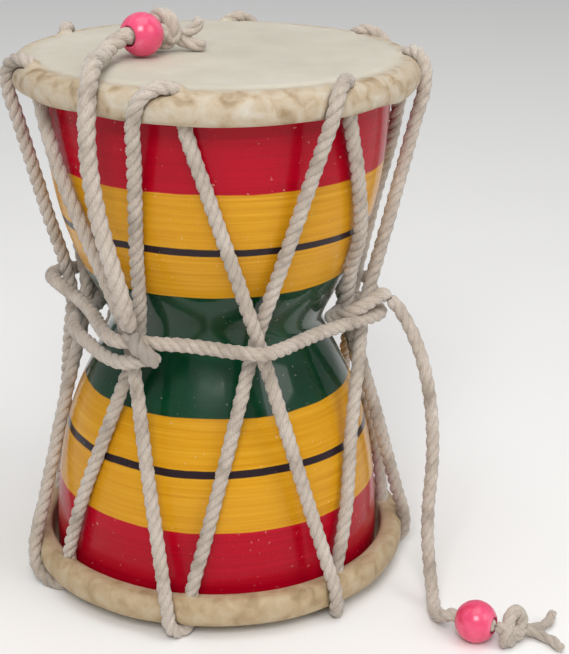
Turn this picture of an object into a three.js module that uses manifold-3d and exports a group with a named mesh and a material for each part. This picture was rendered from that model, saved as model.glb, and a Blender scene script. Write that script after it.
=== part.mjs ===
// Damaru: a small hourglass drum. A turned, hollow wooden shell carries a rawhide head on each end.
// One rope laces the two heads together, a cord gathers the lacing at the waist, and two striker
// cords with a bead and a knot hang from it. Millimetres, +Z up. The origin is on the drum's axis,
// at the surface that it stands on; the front of the drum faces -Y.
import * as THREE from 'three';
import { mergeVertices } from 'three/addons/utils/BufferGeometryUtils.js';
import Module from 'manifold-3d';

const wasm = await Module();
wasm.setup();

// ---- Driving dimensions ----
const GAP = 0.3; // clearance kept between touching pieces
const ROUND_SEGMENTS = 36; // facets round the drum

const SHELL_BOTTOM = 3.7; // the drum stands on its rope, a little above the surface
const SHELL_TOP = 154.2;
const WAIST_Z = 77.7; // height of the narrowest place
const WAIST_RADIUS = 31.3;
const MOUTH_RADIUS = 49.6;
const CUP_SCALE = 26.2; // how fast the cup opens above and below the waist
const CUP_POWER = 1.4;
const SHELL_WALL = 5.5;
const MOUTH_CHAMFER = 0.8;

const SKIN = 0.9; // rawhide thickness
const RIM_RADIUS = 57.7; // outside of the lapped rim
const RIM_BORE = 51; // inside of the rim; the rope's holes break into it
const TOP_RIM_HEIGHT = 8.2;
const BOTTOM_RIM_HEIGHT = 9.1;
const RIM_STEP = 0.7; // the rim lies this far below the playing face

const ROPE = 4.3; // lacing rope diameter
const HOLE_RADIUS = 52.4; // where the rope passes down between rim and shell
const OUTER_LEG_RADIUS = 58.3; // where the rope runs down the outside of the rim
const TOP_TURN_RISE = 0.4; // how far the rope's middle stands off the playing face on a rim
const BOTTOM_TURN_RISE = 0.9;
const CROSSING_RADIUS = 42.6; // where two legs of the lacing cross at the waist
const CROSSING_SPREAD = 4.55; // radial distance between the two legs at a crossing
const CORD = 4.0; // waist cord diameter

const STRIKER_LEFT = 4.8;
const STRIKER_RIGHT = 4.2;
const BEAD = 12;

// Lacing, tied by hand, so its places are a little uneven. Degrees from +X, counter-clockwise from
// above: where the rope goes down through each head, and where it comes up the outside of the rim.
const TOP_HOLES = [206, 261, 311, 362, 400, 448, 509];
const TOP_OUTER = [192, 249, 300, 351, 389, 437, 498];
const BOTTOM_HOLES = [214, 262, 311, 366, 418, 470, 522];
const BOTTOM_OUTER = [201, 256, 305, 357, 408, 460, 512];
// Crossings at the waist: crossing k lies before lacing point k. Angle, height, inward shift.
const CROSSINGS = [
  { angle: 173, z: 82.4, inward: 1.2, outerLegOnTop: true },
  { angle: 237.5, z: 82.4, inward: 0, outerLegOnTop: false },
  { angle: 285, z: 82.6, inward: 0, outerLegOnTop: false },
  { angle: 340, z: 83.2, inward: 0, outerLegOnTop: true },
  { angle: 380, z: 82.4, inward: 0, outerLegOnTop: false },
  { angle: 434, z: 82.0, inward: 0, outerLegOnTop: true },
  { angle: 487, z: 82.0, inward: 0, outerLegOnTop: false },
];

// Waist cord: its height at each crossing, and the two hitches. The left one goes round the back of
// crossing 0 and forward to crossing 1; the right one goes once round crossing 3. Angle, radius, z.
const WAIST_HEIGHTS = [87.2, 84.4, 82.7, 83.2, 82.4, 82.0, 82.2];
const LEFT_PASS = [
  [153, 44.2, 83.6], [163, 38.8, 80.6], [173, 35.2, 79.6], [184, 37.0, 79.6], [193, 41.2, 79.8],
  [208, 45.4, 80.0], [222, 47.4, 79.6], [232, 49.2, 78.6], [240, 50.2, 78.6], [248, 49.0, 80.4],
];
const LEFT_STUB = [
  [-15.9, -45.8, 79.0], [-18.7, -46.5, 81.8], [-21.2, -46.8, 84.4], [-22.5, -46.6, 86.8], [-23.0, -46.9, 88.9],
];
const RIGHT_PASS = [
  [339, 49.4, 83.4], [345, 48.4, 83.0], [351, 43.0, 82.0], [347, 37.4, 81.2], [339, 35.9, 81.0],
  [331, 37.6, 82.4], [328, 43.0, 85.0], [331.5, 47.6, 87.8], [335.6, 49.7, 89.2], [339, 50.8, 89.4],
];

// Striker cord routes, from the hitch to the bead.
const LEFT_ROUTE = [
  [-23.0, -46.9, 88.9], [-24.4, -47.7, 95.5], [-26.3, -48.6, 103.5], [-28.3, -49.3, 111.5],
  [-30.2, -49.9, 119.5], [-31.6, -50.5, 128.0], [-32.5, -51.1, 137.5], [-32.6, -51.3, 146.0],
  [-32.2, -50.5, 152.8], [-31.5, -46.6, 157.8], [-31.0, -40.2, 159.4], [-30.6, -34.0, 158.8],
  [-30.0, -28.2, 158.6], [-28.4, -21.8, 159.8],
];
const RIGHT_ROUTE = [
  [48.9, -18.2, 88.2], [51.2, -18.2, 86.0], [54.3, -18.6, 81.2], [57.1, -19.9, 75.6],
  [59.5, -21.6, 68.6], [61.2, -23.6, 60.4], [62.2, -25.4, 52.0], [62.5, -27.0, 43.5],
  [62.0, -29.0, 35.0], [61.4, -31.2, 26.5], [61.5, -33.4, 17.5], [62.2, -35.4, 9.6],
  [62.8, -38.2, 4.4], [62.9, -42.2, 2.5], [63.0, -46.6, 2.4], [63.6, -50.4, 3.4],
];
const LEFT_BEAD = { at: [-20.3, -12.3, 161.7], heading: 46.5 };
const RIGHT_BEAD = { at: [72.5, -57.7, 6.0], heading: -30 };

// End knots, measured from the middle of their bead.
const TAIL_SHARE = 0.72; // thickness of a tail against the whole cord
const LEFT_KNOT = {
  core: [[5.6, 6.6, 0.2], [7.2, 8.2, -0.8], [9.2, 8.9, -1.4]],
  wrap: [[1.6, 9.2, 0.4], [2.6, 8.8, 3.0], [5.2, 7.4, 4.0], [7.4, 5.9, 1.2], [6.6, 6.2, -2.2], [3.2, 8.2, -2.9]],
  tails: [
    [[7.5, 8.3, -1.2], [10.5, 9.2, -3.0], [14.0, 9.4, -4.3], [17.4, 9.2, -4.3]],
    [[7.5, 8.3, -1.0], [11.4, 9.8, -1.2], [14.2, 10.6, 0.2], [15.8, 11.0, 3.0]],
  ],
};
const RIGHT_KNOT = {
  core: [[8.4, -2.8, -0.4], [11.6, -0.8, -1.6], [14.6, 0.8, -2.6]],
  wrap: [
    [7.4, -5.4, -3.6], [8.3, -3.4, 0.6], [10.4, -0.6, 3.5], [12.8, 1.4, 1.6], [12.6, 1.2, -2.2],
    [9.8, -2.2, -3.7],
  ],
  tails: [
    [[13.4, 0.2, -2.4], [17.6, 2.4, -3.8], [21.2, 5.0, -4.1], [24.2, 9.0, -2.4]],
    [[13.4, 0.2, -2.4], [17.6, -0.4, -4.1], [21.2, -3.6, -4.3], [23.2, -8.0, -4.3]],
  ],
};

// ---- Small helpers ----
const radians = (degrees) => (degrees * Math.PI) / 180;
const lerp = THREE.MathUtils.lerp;
const vector = (p) => new THREE.Vector3(...p);

// A point given by its angle round the drum's axis, its distance from the axis and its height.
function polar(angle, radius, z) {
  return new THREE.Vector3(radius * Math.cos(radians(angle)), radius * Math.sin(radians(angle)), z);
}

// A smooth curve whose steps are shared evenly between its points, not along its length, so that
// close points give a finely stepped bend.
class PointedCurve extends THREE.CatmullRomCurve3 {
  getUtoTmapping(u) {
    return u;
  }
}

// A closed geometry as a solid that can be joined and cut, with its faces pointing out.
function solidFrom(geometry) {
  const bare = geometry.clone();
  bare.deleteAttribute('normal');
  bare.deleteAttribute('uv');
  const merged = mergeVertices(bare, 1e-4);
  const positions = merged.attributes.position.array;
  const triangles = [];
  const index = merged.index.array;
  for (let i = 0; i < index.length; i += 3) {
    const [a, b, c] = [index[i], index[i + 1], index[i + 2]];
    if (a !== b && b !== c && c !== a) triangles.push(a, b, c);
  }
  return new wasm.Manifold(new wasm.Mesh({
    numProp: 3,
    vertProperties: new Float32Array(positions),
    triVerts: new Uint32Array(triangles),
  }));
}

function geometryFrom(solid) {
  const mesh = solid.getMesh();
  const geometry = new THREE.BufferGeometry();
  geometry.setAttribute('position', new THREE.BufferAttribute(mesh.vertProperties, 3));
  geometry.setIndex(new THREE.BufferAttribute(mesh.triVerts, 1));
  geometry.computeVertexNormals();
  return geometry;
}

// An open tube with flat ends along the points.
function tube(points, diameter, sides, stepsPerSpan) {
  const corners = [];
  for (let i = 0; i < sides; i += 1) {
    const turn = (2 * Math.PI * i) / sides;
    corners.push(new THREE.Vector2(Math.cos(turn), Math.sin(turn)).multiplyScalar(diameter / 2));
  }
  return new THREE.ExtrudeGeometry(new THREE.Shape(corners), {
    steps: (points.length - 1) * stepsPerSpan,
    extrudePath: new PointedCurve(points, false, 'centripetal'),
    bevelEnabled: false,
  });
}

// A closed ring of tube through the points.
function loop(points, diameter, sides, stepsPerSpan) {
  const path = new PointedCurve(points, true, 'centripetal');
  return new THREE.TubeGeometry(path, points.length * stepsPerSpan, diameter / 2, sides, true);
}

function joined(geometries) {
  return geometryFrom(geometries.map(solidFrom).reduce((sum, part) => sum.add(part)));
}

function lathe(profile, segments) {
  const points = profile.map(([radius, z]) => new THREE.Vector2(radius, z));
  const geometry = new THREE.LatheGeometry(points, segments);
  geometry.rotateX(Math.PI / 2); // three.js turns about Y
  return geometry;
}

// ---- Shell ----
// Outside radius of the turned shell at a height.
function shellRadius(z) {
  const reach = Math.abs(z - WAIST_Z) / CUP_SCALE;
  return WAIST_RADIUS + (MOUTH_RADIUS - WAIST_RADIUS) * (1 - Math.exp(-(reach ** CUP_POWER)));
}

function shellGeometry() {
  const outerStations = [6, 13, 21, 32, 50];
  const innerStations = [11, 28];
  const heights = (stations) => [...stations.map((d) => -d).reverse(), 0, ...stations].map((d) => WAIST_Z + d);
  const inside = (z) => [shellRadius(z) - SHELL_WALL, z];
  const mouth = shellRadius(SHELL_TOP);
  const profile = [
    inside(SHELL_BOTTOM),
    [mouth - MOUTH_CHAMFER, SHELL_BOTTOM],
    [mouth, SHELL_BOTTOM + MOUTH_CHAMFER],
    ...heights(outerStations).map((z) => [shellRadius(z), z]),
    [mouth, SHELL_TOP - MOUTH_CHAMFER],
    [mouth - MOUTH_CHAMFER, SHELL_TOP],
    inside(SHELL_TOP),
    ...heights(innerStations).reverse().map(inside),
    inside(SHELL_BOTTOM),
  ];
  return lathe(profile, ROUND_SEGMENTS);
}

// ---- Heads ----
const TOP_FACE = SHELL_TOP + GAP + SKIN;
const BOTTOM_FACE = SHELL_BOTTOM - GAP - SKIN;

// The skin over the shell's mouth and the lapped rim round it, as heights below the playing face.
function headProfile(rimHeight) {
  const low = -RIM_STEP - rimHeight;
  return [
    [0, 0], [MOUTH_RADIUS, 0], [RIM_BORE, -RIM_STEP], [RIM_RADIUS - 2.8, -RIM_STEP],
    [RIM_RADIUS - 0.2, -RIM_STEP - 2.6], [RIM_RADIUS, low + 3], [RIM_RADIUS - 2.4, low],
    [RIM_BORE + 0.8, low], [RIM_BORE, low + 1.6], [RIM_BORE - 0.4, -SKIN - 2.2], [MOUTH_RADIUS, -SKIN], [0, -SKIN],
  ];
}

// ---- Lacing ----
// The rope's places over a rim, from its hole to the outer leg. face is the height of the playing
// face and up is 1 on the top head and -1 on the bottom one.
function rimTurn(hole, outer, face, up) {
  const rise = up > 0 ? TOP_TURN_RISE : BOTTOM_TURN_RISE;
  const places = [
    [0, HOLE_RADIUS, -9.6], [0.02, HOLE_RADIUS, -3.2], [0.2, 53.6, rise - 0.8],
    [0.5, 55.6, rise], [0.84, 58, rise - 2.6], [1, OUTER_LEG_RADIUS, -8],
  ];
  return places.map(([share, radius, drop]) => polar(lerp(hole, outer, share), radius, face + up * drop));
}

// The place of one leg at crossing k: the leg from the outer side of the upper rim, or the other one.
function crossingPoint(k, fromOuter) {
  const crossing = CROSSINGS[k % CROSSINGS.length];
  const side = fromOuter === crossing.outerLegOnTop ? 0.5 : -0.5;
  return polar(crossing.angle, CROSSING_RADIUS - crossing.inward + side * CROSSING_SPREAD, crossing.z);
}

// Points on a leg from a rim to a crossing, held off the shell where it would press on it.
function legPoints(rimEnd, crossing, shares) {
  return shares.map((share) => {
    const point = rimEnd.clone().lerp(crossing, share);
    const clear = shellRadius(point.z) + ROPE / 2 + 2 * GAP;
    const scale = Math.max(1, clear / Math.hypot(point.x, point.y));
    return new THREE.Vector3(point.x * scale, point.y * scale, point.z);
  });
}

// One turn of the rope over a rim with the leg that leads up to each side of it. On both heads the
// outer leg of turn k comes from crossing k, and its inner leg goes on to crossing k + 1.
function rimTurns(holes, outers, face, up) {
  return holes.map((hole, k) => {
    const turn = rimTurn(hole, outers[k], face, up);
    const onTop = up > 0;
    return [
      ...legPoints(turn[0], crossingPoint(k + 1, !onTop), [0.8, 0.55, 0.25]),
      ...turn,
      ...legPoints(turn.at(-1), crossingPoint(k, onTop), [0.15, 0.55]),
    ];
  });
}

const TOP_TURNS = rimTurns(TOP_HOLES, TOP_OUTER, TOP_FACE, 1);
const BOTTOM_TURNS = rimTurns(BOTTOM_HOLES, BOTTOM_OUTER, BOTTOM_FACE, -1);

// All fourteen turns are one closed rope. It stands on the flattened undersides of the lower ones.
function lacingGeometry() {
  const count = TOP_TURNS.length;
  const route = [];
  for (let step = 0; step < count; step += 1) {
    const top = (2 * step) % count;
    const bottom = (top + 1) % count;
    route.push(crossingPoint(top, true), ...[...TOP_TURNS[top]].reverse());
    route.push(crossingPoint(bottom, false), ...[...BOTTOM_TURNS[bottom]].reverse());
  }
  const rope = solidFrom(loop(route, ROPE, 6, 1));
  return geometryFrom(rope.trimByPlane([0, 0, 1], 0));
}

function headGeometry(face, up, rimHeight, turns) {
  const profile = headProfile(rimHeight).map(([radius, drop]) => [radius, face + up * drop]);
  const blank = solidFrom(lathe(up > 0 ? profile.reverse() : profile, ROUND_SEGMENTS));
  const ropeSpace = (turn) => solidFrom(tube(turn.slice(2, -1), ROPE + 2 * GAP + 0.4, 6, 1));
  return geometryFrom(turns.reduce((head, turn) => head.subtract(ropeSpace(turn)), blank));
}

// ---- Waist cord ----
// A place on the cord where it passes over the outside of crossing k.
function overCrossing(k, turn, outward, z) {
  const crossing = CROSSINGS[k];
  const spread = 0.25 * Math.abs(z - crossing.z); // the legs lean out away from the crossing
  const radius = CROSSING_RADIUS - crossing.inward + (CROSSING_SPREAD + ROPE + CORD) / 2 + GAP;
  return polar(crossing.angle + turn, radius + spread + outward, z);
}

function waistCordGeometry() {
  const ring = [];
  WAIST_HEIGHTS.forEach((z, k) => {
    const next = (k + 1) % WAIST_HEIGHTS.length;
    const step = (CROSSINGS[next].angle - CROSSINGS[k].angle + 360) % 360;
    ring.push(
      overCrossing(k, -5, -1.2, z), overCrossing(k, 0, 0.2, z), overCrossing(k, 5, -1.2, z),
      polar(CROSSINGS[k].angle + step / 2, 48.6 * Math.cos(radians(step / 2)), (z + WAIST_HEIGHTS[next]) / 2),
    );
  });
  return joined([
    loop(ring, CORD, 6, 1),
    tube(LEFT_PASS.map((p) => polar(...p)), CORD, 6, 1),
    tube(LEFT_STUB.map(vector), STRIKER_LEFT, 8, 1),
    tube([...RIGHT_PASS.map((p) => polar(...p)), vector(RIGHT_ROUTE[0])], STRIKER_RIGHT, 6, 1),
  ]);
}

// ---- Striker cords, beads and end knots ----
function alongBead(bead, distance) {
  return polar(bead.heading, distance, 0).add(vector(bead.at));
}

// The cord from its hitch through the bead's bore, up to the knot.
function strikerGeometry(route, bead, diameter) {
  const [first, second] = route.map(vector);
  const start = first.clone().add(second.clone().sub(first).setLength(GAP));
  const inside = [-7, -2, BEAD / 2].map((distance) => alongBead(bead, distance));
  return tube([start, ...route.slice(1).map(vector), ...inside], diameter, 8, 1);
}

function beadGeometry(bead, diameter) {
  const bore = diameter / 2 + GAP;
  const mouth = Math.asin(bore / (BEAD / 2));
  const profile = [];
  for (let i = 0; i <= 7; i += 1) {
    const turn = lerp(mouth - Math.PI / 2, Math.PI / 2 - mouth, i / 7);
    profile.push([(BEAD / 2) * Math.cos(turn), (BEAD / 2) * Math.sin(turn)]);
  }
  const geometry = lathe([...profile, profile[0]], 14);
  geometry.rotateY(Math.PI / 2);
  geometry.rotateZ(radians(bead.heading));
  geometry.translate(...bead.at);
  return geometry;
}

// An overhand knot: the cord's core, the turn that wraps it, and its two tails.
function knotGeometry(bead, diameter, knot) {
  const place = (p) => vector(p).add(vector(bead.at));
  const start = [GAP, GAP + 1.2].map((distance) => alongBead(bead, BEAD / 2 + distance));
  return joined([
    tube([...start, ...knot.core.map(place)], diameter, 6, 1),
    loop(knot.wrap.map(place), diameter, 6, 1),
    ...knot.tails.map((tail) => tube(tail.map(place), diameter * TAIL_SHARE, 6, 1)),
  ]);
}

// ---- The drum ----
function piece(name, geometry, color, roughness) {
  const mesh = new THREE.Mesh(geometry, new THREE.MeshStandardMaterial({ color, roughness, metalness: 0 }));
  mesh.name = name;
  return mesh;
}

const COTTON = 0xcbc1b6;
const RAWHIDE = 0xc9b89c;
const PINK = 0xf0506e;

const drum = new THREE.Group();
drum.add(
  piece('drum_shell', shellGeometry(), 0xd4a224, 0.25),
  piece('top_head', headGeometry(TOP_FACE, 1, TOP_RIM_HEIGHT, TOP_TURNS), RAWHIDE, 0.75),
  piece('bottom_head', headGeometry(BOTTOM_FACE, -1, BOTTOM_RIM_HEIGHT, BOTTOM_TURNS), RAWHIDE, 0.7),
  piece('lacing_rope', lacingGeometry(), COTTON, 0.95),
  piece('waist_cord', waistCordGeometry(), COTTON, 0.95),
  piece('striker_cord_left', strikerGeometry(LEFT_ROUTE, LEFT_BEAD, STRIKER_LEFT), COTTON, 0.95),
  piece('striker_cord_right', strikerGeometry(RIGHT_ROUTE, RIGHT_BEAD, STRIKER_RIGHT), COTTON, 0.95),
  piece('bead_left', beadGeometry(LEFT_BEAD, STRIKER_LEFT), PINK, 0.2),
  piece('bead_right', beadGeometry(RIGHT_BEAD, STRIKER_RIGHT), PINK, 0.2),
  piece('end_knot_left', knotGeometry(LEFT_BEAD, STRIKER_LEFT, LEFT_KNOT), COTTON, 0.95),
  piece('end_knot_right', knotGeometry(RIGHT_BEAD, STRIKER_RIGHT, RIGHT_KNOT), COTTON, 0.95),
);

export default drum;
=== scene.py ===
"""Damaru: an hourglass hand drum with lacquered bands, rawhide heads, rope lacing and two strikers.

Every length in the tables is in millimetres, +Z up, with the drum's axis on Z and its front on -Y.
"""

import logging
import math
from dataclasses import dataclass, field
from enum import Enum
from typing import Any, Callable, Sequence

import bmesh
import bpy
import numpy as np
from mathutils import Matrix, Vector


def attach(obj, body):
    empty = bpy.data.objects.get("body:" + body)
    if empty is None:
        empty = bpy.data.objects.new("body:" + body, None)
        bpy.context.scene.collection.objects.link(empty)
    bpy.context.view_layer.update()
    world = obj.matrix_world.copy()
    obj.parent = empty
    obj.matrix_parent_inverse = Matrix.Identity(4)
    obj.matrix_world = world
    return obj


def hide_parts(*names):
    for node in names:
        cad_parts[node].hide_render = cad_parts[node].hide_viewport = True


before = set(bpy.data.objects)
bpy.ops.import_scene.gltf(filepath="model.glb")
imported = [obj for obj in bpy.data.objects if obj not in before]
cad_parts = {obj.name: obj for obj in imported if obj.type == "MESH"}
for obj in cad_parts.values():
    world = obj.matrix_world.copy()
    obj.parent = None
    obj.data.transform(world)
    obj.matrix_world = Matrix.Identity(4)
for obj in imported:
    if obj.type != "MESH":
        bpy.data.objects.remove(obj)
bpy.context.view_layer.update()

LOG = logging.getLogger("damaru")
MM = 0.001
SAMPLES_PER_SPAN = 24
LACING_STEP = 0.75  # distance between the rings of the lacing's strands
TAIL_SHARE = 0.72  # thickness of a frayed tail against its cord
Point = tuple[float, float, float]


# ---------------------------------------------------------------- shared sizes


@dataclass(frozen=True)
class DrumSizes:
    """The drum's driving sizes, shared by the pieces that touch each other."""

    shell_bottom: float = 3.7
    shell_top: float = 154.2
    waist_z: float = 77.7
    waist_radius: float = 31.3
    mouth_radius: float = 49.6
    cup_scale: float = 26.2
    cup_power: float = 1.4
    skin: float = 0.9
    gap: float = 0.3
    rim_radius: float = 57.7
    rim_bore: float = 51.0
    rim_step: float = 0.7
    top_rim_height: float = 8.2
    bottom_rim_height: float = 9.1
    rope: float = 4.3
    cord: float = 4.0
    hole_radius: float = 52.4
    outer_leg_radius: float = 58.3
    crossing_radius: float = 42.6
    crossing_spread: float = 4.55
    top_turn_rise: float = 0.4
    bottom_turn_rise: float = 0.9

    @property
    def top_face(self) -> float:
        """Height of the upper playing face."""
        return self.shell_top + self.gap + self.skin

    @property
    def bottom_face(self) -> float:
        """Height of the lower playing face."""
        return self.shell_bottom - self.gap - self.skin

    def shell_radius(self, z: float) -> float:
        """Outside radius of the shell at a height.

        Args:
            z: Height above the surface that the drum stands on.

        Returns:
            The radius in millimetres.
        """
        reach = abs(z - self.waist_z) / self.cup_scale
        flare = 1 - math.exp(-(reach**self.cup_power))
        return self.waist_radius + (self.mouth_radius - self.waist_radius) * flare


SIZES = DrumSizes()


@dataclass(frozen=True)
class Crossing:
    """A place at the waist where two legs of the lacing cross."""

    angle: float
    z: float
    inward: float
    outer_leg_on_top: bool


# The lacing is tied by hand, so its places are a little uneven. Degrees from +X, counter-clockwise from
# above: where the rope goes down through each head, and where it comes up the outside of the rim.
TOP_HOLES = [206, 261, 311, 362, 400, 448, 509]
TOP_OUTER = [192, 249, 300, 351, 389, 437, 498]
BOTTOM_HOLES = [214, 262, 311, 366, 418, 470, 522]
BOTTOM_OUTER = [201, 256, 305, 357, 408, 460, 512]
# Crossing k lies before lacing point k: angle, height, inward shift, and which leg lies on top.
CROSSINGS = [
    Crossing(173, 82.4, 1.2, True),
    Crossing(237.5, 82.4, 0, False),
    Crossing(285, 82.6, 0, False),
    Crossing(340, 83.2, 0, True),
    Crossing(380, 82.4, 0, False),
    Crossing(434, 82.0, 0, True),
    Crossing(487, 82.0, 0, False),
]
# The waist cord: its height at each crossing, then its two hitches as angle, radius and height.
WAIST_HEIGHTS = [87.2, 84.4, 82.7, 83.2, 82.4, 82.0, 82.2]
LEFT_PASS = [
    (153, 44.2, 83.6), (163, 38.8, 80.6), (173, 35.2, 79.6), (184, 37.0, 79.6), (193, 41.2, 79.8),
    (208, 45.4, 80.0), (222, 47.4, 79.6), (232, 49.2, 78.6), (240, 50.2, 78.6), (248, 49.0, 80.4),
]
LEFT_STUB = [
    (-15.9, -45.8, 79.0), (-18.7, -46.5, 81.8), (-21.2, -46.8, 84.4), (-22.5, -46.6, 86.8),
    (-23.0, -46.9, 88.9),
]
RIGHT_PASS = [
    (339, 49.4, 83.4), (345, 48.4, 83.0), (351, 43.0, 82.0), (347, 37.4, 81.2), (339, 35.9, 81.0),
    (331, 37.6, 82.4), (328, 43.0, 85.0), (331.5, 47.6, 87.8), (335.6, 49.7, 89.2), (339, 50.8, 89.4),
]
# The strikers' lines from their hitch to their bead.
LEFT_ROUTE = [
    (-23.0, -46.9, 88.9), (-24.4, -47.7, 95.5), (-26.3, -48.6, 103.5), (-28.3, -49.3, 111.5),
    (-30.2, -49.9, 119.5), (-31.6, -50.5, 128.0), (-32.5, -51.1, 137.5), (-32.6, -51.3, 146.0),
    (-32.2, -50.5, 152.8), (-31.5, -46.6, 157.8), (-31.0, -40.2, 159.4), (-30.6, -34.0, 158.8),
    (-30.0, -28.2, 158.6), (-28.4, -21.8, 159.8),
]
RIGHT_ROUTE = [
    (48.9, -18.2, 88.2), (51.2, -18.2, 86.0), (54.3, -18.6, 81.2), (57.1, -19.9, 75.6),
    (59.5, -21.6, 68.6), (61.2, -23.6, 60.4), (62.2, -25.4, 52.0), (62.5, -27.0, 43.5),
    (62.0, -29.0, 35.0), (61.4, -31.2, 26.5), (61.5, -33.4, 17.5), (62.2, -35.4, 9.6),
    (62.8, -38.2, 4.4), (62.9, -42.2, 2.5), (63.0, -46.6, 2.4), (63.6, -50.4, 3.4),
]


# ---------------------------------------------------------------- colour and material helpers


def linear(hex_colour: str, alpha: float = 1.0) -> tuple[float, float, float, float]:
    """Turns an sRGB hex colour into the linear colour that shaders use.

    Args:
        hex_colour: The colour as "#rrggbb".
        alpha: Opacity.

    Returns:
        Linear red, green, blue and alpha.
    """
    value = hex_colour.lstrip("#")
    channels = [int(value[i : i + 2], 16) / 255 for i in (0, 2, 4)]
    red, green, blue = (c / 12.92 if c <= 0.04045 else ((c + 0.055) / 1.055) ** 2.4 for c in channels)
    return red, green, blue, alpha


def add_node(
    tree: bpy.types.NodeTree,
    kind: str,
    settings: dict[str, Any] | None = None,
    inputs: dict[Any, Any] | None = None,
) -> bpy.types.Node:
    """Adds a shader node with its settings, values and links.

    Args:
        tree: The node tree.
        kind: The node's type name without its "ShaderNode" prefix.
        settings: Properties of the node.
        inputs: Input name or index, to a value or to another node's output socket.

    Returns:
        The new node.
    """
    node = tree.nodes.new("ShaderNode" + kind)
    for name, value in (settings or {}).items():
        setattr(node, name, value)
    for name, value in (inputs or {}).items():
        if isinstance(value, bpy.types.NodeSocket):
            tree.links.new(value, node.inputs[name])
        else:
            node.inputs[name].default_value = value
    return node


def set_ramp(node: bpy.types.Node, stops: Sequence[tuple[float, str]]) -> None:
    """Sets the stops of a colour ramp.

    Args:
        node: The ramp node.
        stops: Position and sRGB hex colour of each stop, in order.
    """
    ramp = node.color_ramp
    while len(ramp.elements) < len(stops):
        ramp.elements.new(0.5)
    for element, (position, colour) in zip(ramp.elements, stops):
        element.position = position
        element.color = linear(colour)


def new_material(name: str) -> tuple[bpy.types.Material, bpy.types.NodeTree, bpy.types.Node]:
    """Makes a material with an empty Principled shader.

    Args:
        name: The material's name.

    Returns:
        The material, its node tree and its Principled node.
    """
    material = bpy.data.materials.new(name)
    material.use_nodes = True
    tree = material.node_tree
    return material, tree, tree.nodes["Principled BSDF"]


def maths(tree: bpy.types.NodeTree, operation: str, *values: Any) -> bpy.types.NodeSocket:
    """Adds one maths step and gives its output.

    Args:
        tree: The node tree.
        operation: The operation's name.
        *values: Its inputs, each a number or a socket.

    Returns:
        The result's socket.
    """
    node = add_node(tree, "Math", {"operation": operation}, dict(enumerate(values)))
    return node.outputs[0]


def blend_colour(
    tree: bpy.types.NodeTree, factor: Any, below: Any, above: Any, mode: str = "MIX"
) -> bpy.types.NodeSocket:
    """Mixes two colours.

    Args:
        tree: The node tree.
        factor: Share of the second colour.
        below: The first colour.
        above: The second colour.
        mode: The blend mode.

    Returns:
        The mixed colour's socket.
    """
    node = add_node(
        tree,
        "Mix",
        {"data_type": "RGBA", "blend_type": mode},
        {"Factor": factor, "A": below, "B": above},
    )
    return node.outputs["Result"]


def blend_value(tree: bpy.types.NodeTree, factor: Any, below: float, above: float) -> bpy.types.NodeSocket:
    """Mixes two values by a factor."""
    node = add_node(tree, "Mix", {"data_type": "FLOAT"}, {"Factor": factor, "A": below, "B": above})
    return node.outputs["Result"]


# ---------------------------------------------------------------- finishes
# Noise scales are counts per metre on Object coordinates: 100 gives shapes about 10 mm wide.


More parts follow.
